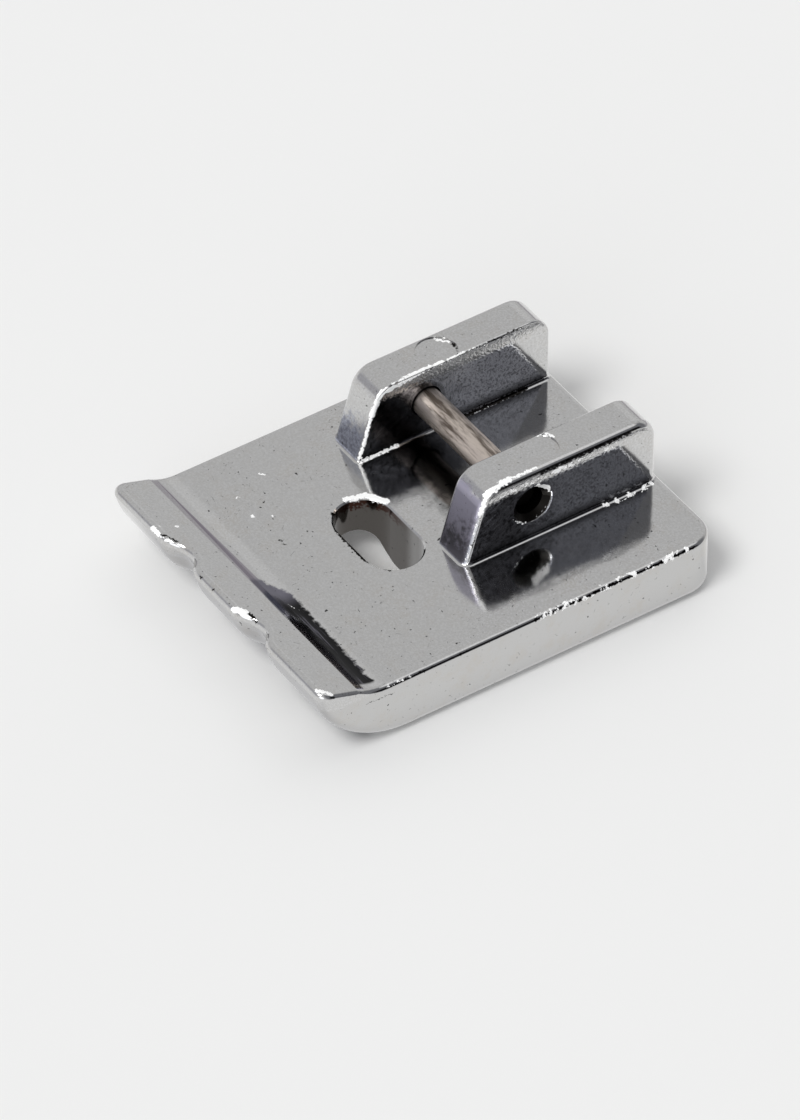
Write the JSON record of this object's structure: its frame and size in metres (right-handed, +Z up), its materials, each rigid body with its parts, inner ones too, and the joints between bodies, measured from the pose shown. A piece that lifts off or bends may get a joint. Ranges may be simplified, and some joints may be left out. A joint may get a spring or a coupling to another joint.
{
  "type": "sewing machine presser foot",
  "caption": "Chrome-plated clip-on presser foot: flat plate with a turned-up lobed toe, needle slot, cording tunnels below, and upright ears joined by a steel cross pin.",
  "frame": {"origin": "centre of the bottom of the foot's bounding box, on the flat of the sole", "axes": "+X is the foot's right side, +Y runs from the toe to the rear, +Z is up through the ears"},
  "size_m": [0.018, 0.0225, 0.0072],
  "materials": {
    "casting": "bright chrome plating over a zinc die casting, with small casting pits and worn edges",
    "pin": "drawn steel with light lines along it"
  },
  "bodies": {
    "root": {"foot_casting": "casting", "cross_pin": "pin"}
  },
  "joints": []
}
